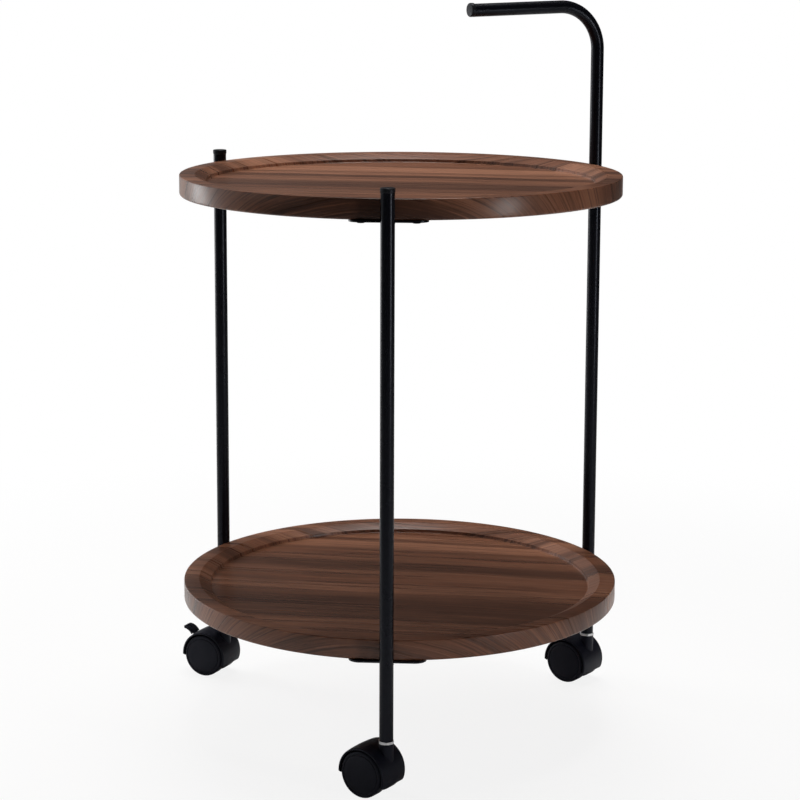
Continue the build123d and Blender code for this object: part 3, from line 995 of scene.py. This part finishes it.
# The ridge would rise to this peak along its flanks, and is cut flat at 1
THREAD_PEAK = 1.3
THREAD_FLANK = 1.6
PIN_RADIUS = 3.5 * MM
PIN_SEGMENTS = 48
PIN_ROUND = 0.5 * MM
PIN_GROOVE_FROM_END = 2.5 * MM
PIN_GROOVE_WIDTH = 1.3 * MM
PIN_GROOVE_DEPTH = 0.6 * MM
PIN_GROOVE_ROUND = 0.1 * MM
STEM_OVERLAP = 0.2 * MM


class TABLE_OT_stems(bpy.types.Operator):
    """Builds the caster stems: thread, chamfered hexagonal collar and swivel pin"""

    bl_idname = "side_table.stems"
    bl_label = "Caster stems"

    def execute(self, context):
        looks = context.scene.caster_looks
        zinc = bpy.data.materials["zinc_steel"]
        for place in LEGS:
            self.stem(looks, zinc, place)
        return {"FINISHED"}

    def stem(self, looks, zinc, place):
        low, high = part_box(f"{place}_caster_stem")
        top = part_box("handle_leg" if place == "right" else f"{place}_leg")[0].z
        bottom = top - COLLAR_HEIGHT
        spot = leg_place(place, 0)
        self.pitch = looks.thread_pitch
        self.chamfer = looks.collar_chamfer
        self.collar = (bottom, top)
        bm = bmesh.new()
        cuts = [step * self.chamfer / CHAMFER_STEPS for step in range(CHAMFER_STEPS + 1)]
        edges = [bottom + cut for cut in cuts] + [top - cut for cut in reversed(cuts)]
        ringed_mesh(bm, edges, self.collar_reach, COLLAR_SEGMENTS, spot)
        step = self.pitch / THREAD_STEPS
        count = round((high.z - top) / step)
        threads = [top - STEM_OVERLAP] + [top + index * step for index in range(count)]
        ringed_mesh(bm, threads + [high.z], self.thread_reach, THREAD_SEGMENTS, spot)
        groove = low.z + PIN_GROOVE_FROM_END
        groove_end = groove + PIN_GROOVE_WIDTH
        groove_foot = PIN_RADIUS - PIN_GROOVE_DEPTH
        pin = (
            (0, low.z, 0),
            (PIN_RADIUS, low.z, PIN_ROUND),
            (PIN_RADIUS, groove, PIN_GROOVE_ROUND),
            (groove_foot, groove, PIN_GROOVE_ROUND),
            (groove_foot, groove_end, PIN_GROOVE_ROUND),
            (PIN_RADIUS, groove_end, PIN_GROOVE_ROUND),
            (PIN_RADIUS, bottom + STEM_OVERLAP, 0),
            (0, bottom + STEM_OVERLAP, 0),
        )
        turned_mesh(bm, rounded_outline(pin, steps=3), PIN_SEGMENTS, spot)
        piece = finished_piece(bm, f"{place}_stem_turning", zinc, crease=25.0)
        hand_over(piece, TABLE, "zinc_steel", f"{place}_caster_stem")

    def collar_reach(self, height, turn):
        """A hexagon whose corners are cut by a cone at both ends."""
        side = (turn - COLLAR_TURN) % (math.pi / 3) - math.pi / 6
        hexagon = COLLAR_FLATS / 2 / math.cos(side)
        low, high = self.collar
        near_end = min(height - low, high - height)
        corner = COLLAR_FLATS / 2 / math.cos(math.pi / 6)
        return min(hexagon, corner - max(0, self.chamfer - near_end) * CHAMFER_SLOPE)

    def thread_reach(self, height, turn):
        """A helical ridge, flattened at its crest and root."""
        phase = ((height - self.collar[1]) / self.pitch - turn / math.tau) % 1
        ridge = min(1, max(0, THREAD_PEAK - abs(2 * phase - 1) * THREAD_FLANK))
        return THREAD_RADIUS - THREAD_DEPTH * (1 - ridge)


# Hoods and brake

GRIP_FROM_TIP = 1.6 * MM
GRIP_FROM_SIDE = 0.9 * MM
GRIP_SPACING = 1.5 * MM
GRIP_RADIUS = 0.4 * MM
GRIP_SEGMENTS = 12
# The rings of a grip rib: share of its half width, share of its radius
GRIP_RINGS = ((-1, 0.45), (-0.94, 1), (0.94, 1), (1, 0.45))
# The tab's points lie above this height over the axle, and the highest of so many is taken
TAB_FLOOR = 14 * MM
TAB_SAMPLES = 8


class TABLE_OT_casters(bpy.types.Operator):
    """Finishes the hoods, axles, rings and the brake, whose tab gets grip ribs"""

    bl_idname = "side_table.casters"
    bl_label = "Hoods and brake"

    def execute(self, context):
        looks = context.scene.caster_looks
        nylon = moulded_nylon("black_nylon_hood", looks.nylon_colour, looks.nylon_roughness)
        zinc = bpy.data.materials["zinc_steel"]
        dress_nodes(nylon, "brake_lever", *[f"{place}_caster_hood" for place in LEGS])
        hidden = [f"{place}_{part}" for place in LEGS for part in ("caster_axle", "snap_ring")]
        dress_nodes(zinc, "brake_pivot_pin", "brake_bar", *hidden)
        self.grip_ribs(looks, nylon)
        return {"FINISHED"}

    def grip_ribs(self, looks, nylon):
        """Rounded ribs across the upper face of the lever's tab."""
        spot = caster_place("left")
        back = spot.inverted()
        places = [back @ vertex.co for vertex in frame["nodes"]["brake_lever"].data.vertices]
        tip = max(place.x for place in places)
        half_width = max(abs(place.y) for place in places) - GRIP_FROM_SIDE
        bm = bmesh.new()
        for index in range(looks.grip_rib_count):
            reach = tip - GRIP_FROM_TIP - index * GRIP_SPACING
            before = self.tab_top(places, reach - GRIP_SPACING / 2)
            after = self.tab_top(places, reach + GRIP_SPACING / 2)
            middle = Vector((reach, 0, (before + after) / 2))
            ahead = Vector((GRIP_SPACING, 0, after - before)).normalized()
            self.rib(bm, spot, middle, ahead, half_width)
        piece = finished_piece(bm, "brake_lever_grip_ribs", nylon, crease=50.0)
        hand_over(piece, "brake", "black_nylon")

    def tab_top(self, places, reach):
        """The height of the tab's upper face at a distance back from the axle."""
        tab = [place for place in places if place.z > TAB_FLOOR]
        tab.sort(key=lambda place: abs(place.x - reach))
        return max(place.z for place in tab[:TAB_SAMPLES])

    def rib(self, bm, spot, middle, ahead, half_width):
        """A round bar across the tab, drawn in at its ends."""
        lift = Vector((0, -1, 0)).cross(ahead)
        rings = []
        for share, swell in GRIP_RINGS:
            size = GRIP_RADIUS * swell
            hub = middle + Vector((0, half_width * share, 0))
            rings.append(ring_mesh(
                bm, GRIP_SEGMENTS, lambda turn: spot @ (hub + swung(ahead, lift, turn) * size)
            ))
        close_stack(bm, rings)


# Stage

SENSOR_WIDTH = 36.0
VIEW_REACH = 60.0
FLOOR_RINGS = (0, 0.6, 1.2, 2.4, 9.0)
FLOOR_SEGMENTS = 96
# The camera sees this share of white near the table, all white from the second reach on
FLOOR_WHITE_SHARE = 0.86
FLOOR_SHADOW_REACH = 0.35
FLOOR_WHITE_REACH = 1.1
# Gloss sees floor and world white towards one side, and the floor only from a reach on
FLOOR_GLOSSY_SIDE = (-0.643, 0.766, 0.0)
FLOOR_GLOSSY_SHARE = 0.6
FLOOR_GLOSSY_REACH = 1.2
FLOOR_GLOSSY_FULL = 2.2
WORLD_GLOSSY_SIDE = (-0.94, 0.34, 0.0)
WORLD_GLOSSY_SHARE = 0.76
GLOSSY_LEAST = 0.03
GLOSSY_EDGE = (0.3, 0.9)
WHITE = (1, 1, 1, 1)
LAMP_WHITE = (1, 1, 1)
LAMP_WARM_WHITE = (1, 0.985, 0.97)
LAMP_AIM_HEIGHT = 0.25
# High softboxes: name, place from the table's foot, size, spread in degrees, glow, seen in gloss
HIGH_LAMPS = (
    ("back_softbox", (-0.35, 1.55, 1.95), 1.3, 70.0, 0.69, False),
    ("top_softbox", (0.1, 0.3, 2.3), 0.9, 60.0, 1.40, True),
    ("small_top_softbox", (0.3, 0.9, 2.2), 0.6, 60.0, 0.15, True),
)
# Upright softboxes: name, azimuth, distance, low and high edge, width, glow, seen in gloss
LAMPS = (
    ("right_low_softbox", 322.0, 2.0, 0.05, 0.5, 0.2, 14.5, True),
    ("right_high_softbox", 322.0, 2.0, 0.5, 1.2, 0.2, 14.5, False),
    ("right_back_softbox", 40.0, 2.0, 0.05, 1.4, 0.6, 0.8, False),
    ("left_back_softbox", 146.0, 1.9, 0.05, 1.5, 0.7, 6.2, False),
    ("left_low_softbox", 150.0, 1.9, 0.05, 0.5, 0.5, 4.65, True),
    ("left_high_softbox", 150.0, 1.9, 0.5, 1.3, 0.5, 4.65, False),
)


class TABLE_OT_studio(bpy.types.Operator):
    """Sets the camera, the lamps, the pale floor and the white surroundings"""

    bl_idname = "side_table.studio"
    bl_label = "Studio"

    def execute(self, context):
        looks = context.scene.studio_looks
        centre = tray_frame("upper")[0]
        foot = Vector((centre.x, centre.y, 0))
        self.camera(context, looks, foot)
        self.floor(looks, foot)
        self.surroundings(context, looks)
        for lamp in LAMPS:
            self.upright_lamp(foot, *lamp)
        for lamp in HIGH_LAMPS:
            self.high_lamp(foot, *lamp)
        context.scene.view_settings.view_transform = "Standard"
        return {"FINISHED"}

    def camera(self, context, looks, foot):
        data = bpy.data.cameras.new("photo_camera")
        data.lens = looks.lens
        data.sensor_width = SENSOR_WIDTH
        data.sensor_fit = "HORIZONTAL"
        data.shift_x = looks.shift_x
        data.shift_y = looks.shift_y
        data.clip_end = VIEW_REACH
        camera = bpy.data.objects.new("photo_camera", data)
        context.scene.collection.objects.link(camera)
        spot = foot + Vector((0, -looks.camera_distance, looks.camera_height))
        tilt = Matrix.Rotation(math.pi / 2 - looks.camera_pitch, 4, "X")
        roll = Matrix.Rotation(looks.camera_roll, 4, "Z")
        camera.matrix_world = Matrix.Translation(spot) @ tilt @ roll
        context.scene.camera = camera

    def floor(self, looks, foot):
        """A pale floor that looks white from afar and keeps a soft shadow near the table."""
        bm = bmesh.new()
        outline = [(reach, 0) for reach in FLOOR_RINGS]
        turned_mesh(bm, outline, FLOOR_SEGMENTS, Matrix.Translation(foot))
        bench = Bench(bpy.data.materials.new("pale_floor"))
        place = bench.object_place()
        cloud = bench.remap(bench.noise(place, (1.4, 1.4, 1.4)), 0.3, 0.7)
        tone = bench.tints(cloud, looks.floor_colour, 1, 0.985)
        bench.set(Base_Color=tone, Roughness=0.9, Specular_IOR_Level=0.1)
        white = bench.add("ShaderNodeEmission", {"Color": WHITE, "Strength": 1.0})
        apart = bench.add("ShaderNodeVectorMath", {0: place}, operation="LENGTH").outputs["Value"]
        seen = bench.remap(apart, FLOOR_SHADOW_REACH, FLOOR_WHITE_REACH, FLOOR_WHITE_SHARE, 1.0)
        gloss = bench.remap(apart, FLOOR_GLOSSY_REACH, FLOOR_GLOSSY_FULL, 0.0, FLOOR_GLOSSY_SHARE)
        self.show_white(bench, seen, place, FLOOR_GLOSSY_SIDE, gloss, bench.shader, white)
        floor = finished_piece(bm, "studio_floor", bench.owner)

    def surroundings(self, context, looks):
        """A dim world that camera and glass see as white, and gloss partly."""
        world = bpy.data.worlds.new("studio_world")
        bench = Bench(world)
        bench.tree.nodes.clear()
        bench.add("ShaderNodeOutputWorld", name="Material Output")
        kind = "ShaderNodeBackground"
        soft = bench.add(kind, {"Color": WHITE, "Strength": looks.world_light})
        white = bench.add(kind, {"Color": WHITE, "Strength": 1.0})
        direction = bench.add("ShaderNodeTexCoord").outputs["Generated"]
        self.show_white(bench, 1.0, direction, WORLD_GLOSSY_SIDE, WORLD_GLOSSY_SHARE, soft, white)
        context.scene.world = world

    def show_white(self, bench, seen, direction, side, gloss, plain, white):
        """Shows white to camera and glass, and to gloss mostly on one side."""
        paths = bench.add("ShaderNodeLightPath").outputs
        level = bench.add("ShaderNodeVectorMath", {0: direction}, operation="NORMALIZE").outputs[0]
        away = bench.add(
            "ShaderNodeVectorMath", {0: level, 1: side}, operation="DOT_PRODUCT"
        ).outputs["Value"]
        lit = bench.math("MULTIPLY", bench.remap(away, *GLOSSY_EDGE, GLOSSY_LEAST, 1.0), gloss)
        glossy = bench.math("MULTIPLY", paths["Is Glossy Ray"], lit)
        camera = bench.math("MULTIPLY", paths["Is Camera Ray"], seen)
        through = bench.math("MAXIMUM", glossy, paths["Is Transmission Ray"])
        share = bench.math("MAXIMUM", camera, through)
        mix = bench.add(
            "ShaderNodeMixShader", {0: share, 1: plain.outputs[0], 2: white.outputs[0]}
        )
        bench.tree.links.new(mix.outputs[0], bench.tree.nodes["Material Output"].inputs["Surface"])

    def upright_lamp(self, foot, name, azimuth, distance, low, high, width, glow, mirrored):
        """An upright softbox that faces the table."""
        out = turned(1, 0, math.radians(azimuth))
        spot = foot + UP * ((low + high) / 2) + out * distance
        self.softbox(name, spot, out * -1, width, high - low, glow, LAMP_WHITE, mirrored)

    def high_lamp(self, foot, name, shift, size, spread, glow, mirrored):
        """A softbox above the table that faces the lower tray."""
        spot = foot + Vector(shift)
        facing = foot + UP * LAMP_AIM_HEIGHT - spot
        lamp = self.softbox(name, spot, facing, size, size, glow, LAMP_WARM_WHITE, mirrored)
        lamp.data.spread = math.radians(spread)

    def softbox(self, name, spot, facing, width, height, glow, tint, mirrored):
        """A lamp that the camera doesn't see; glow is its brightness."""
        data = bpy.data.lights.new(name, "AREA")
        data.shape = "RECTANGLE"
        data.size = width
        data.size_y = height
        data.energy = glow * math.pi * width * height
        data.color = tint
        lamp = bpy.data.objects.new(name, data)
        bpy.context.scene.collection.objects.link(lamp)
        turn = facing.to_track_quat("-Z", "Y").to_matrix().to_4x4()
        lamp.matrix_world = Matrix.Translation(spot) @ turn
        lamp.visible_camera = False
        lamp.visible_glossy = mirrored
        return lamp


# Panel and start

OPERATORS = (
    TABLE_OT_trays,
    TABLE_OT_legs,
    TABLE_OT_caps,
    TABLE_OT_fittings,
    TABLE_OT_wheels,
    TABLE_OT_stems,
    TABLE_OT_casters,
    TABLE_OT_studio,
)
GROUPS = {
    "tray_looks": TrayLooks,
    "leg_looks": LegLooks,
    "caster_looks": CasterLooks,
    "studio_looks": StudioLooks,
}


class TABLE_PT_side_table(bpy.types.Panel):
    """Lists the steps and sizes of the side table"""

    bl_idname = "TABLE_PT_side_table"
    bl_label = "Side Table"
    bl_space_type = "VIEW_3D"
    bl_region_type = "UI"
    bl_category = "Side Table"

    def draw(self, context):
        for operator in OPERATORS:
            self.layout.operator(operator.bl_idname)
        for group_name, group in GROUPS.items():
            box = self.layout.box()
            for key in group.__annotations__:
                box.prop(getattr(context.scene, group_name), key)


def register():
    for group_name, group in GROUPS.items():
        bpy.utils.register_class(group)
        setattr(bpy.types.Scene, group_name, PointerProperty(type=group))
    for operator in OPERATORS:
        bpy.utils.register_class(operator)
    bpy.utils.register_class(TABLE_PT_side_table)


def unregister():
    bpy.utils.unregister_class(TABLE_PT_side_table)
    for operator in reversed(OPERATORS):
        bpy.utils.unregister_class(operator)
    for group_name, group in GROUPS.items():
        delattr(bpy.types.Scene, group_name)
        bpy.utils.unregister_class(group)


def main():
    register()
    for operator in OPERATORS:
        family, step = operator.bl_idname.split(".")
        getattr(getattr(bpy.ops, family), step)()


if __name__ == "__main__":
    main()
